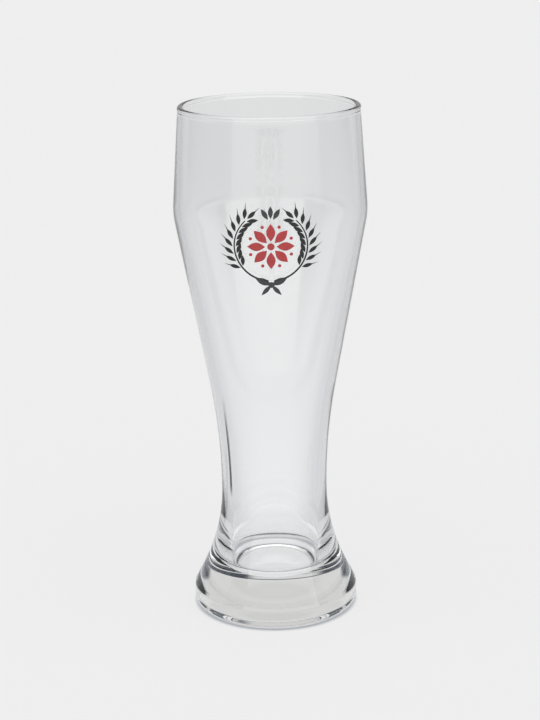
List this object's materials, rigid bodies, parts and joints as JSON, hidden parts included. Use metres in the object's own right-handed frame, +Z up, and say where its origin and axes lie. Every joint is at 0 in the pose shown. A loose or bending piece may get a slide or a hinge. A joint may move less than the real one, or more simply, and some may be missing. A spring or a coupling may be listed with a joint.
{
  "type": "beer glass",
  "caption": "Tall clear wheat beer glass with a flared bowl, a slim neck, a thick solid foot and a fired enamel wreath on the bulge.",
  "frame": {"origin": "middle of the foot, on the surface that the glass stands on", "axes": "+Z up along the axis of the glass, -Y towards the side with the ornament, +X to the right as seen from that side"},
  "size_m": [0.0832, 0.0832, 0.225],
  "materials": {
    "clear_glass": "clear, fire polished",
    "black_enamel": "fired enamel, satin gloss",
    "red_enamel": "fired enamel, satin gloss",
    "grey_enamel": "fired enamel, satin gloss"
  },
  "bodies": {
    "root": {"glass": "clear_glass", "barley_wreath": "black_enamel", "rosette": "red_enamel", "bow_and_drops": "grey_enamel"}
  },
  "joints": []
}
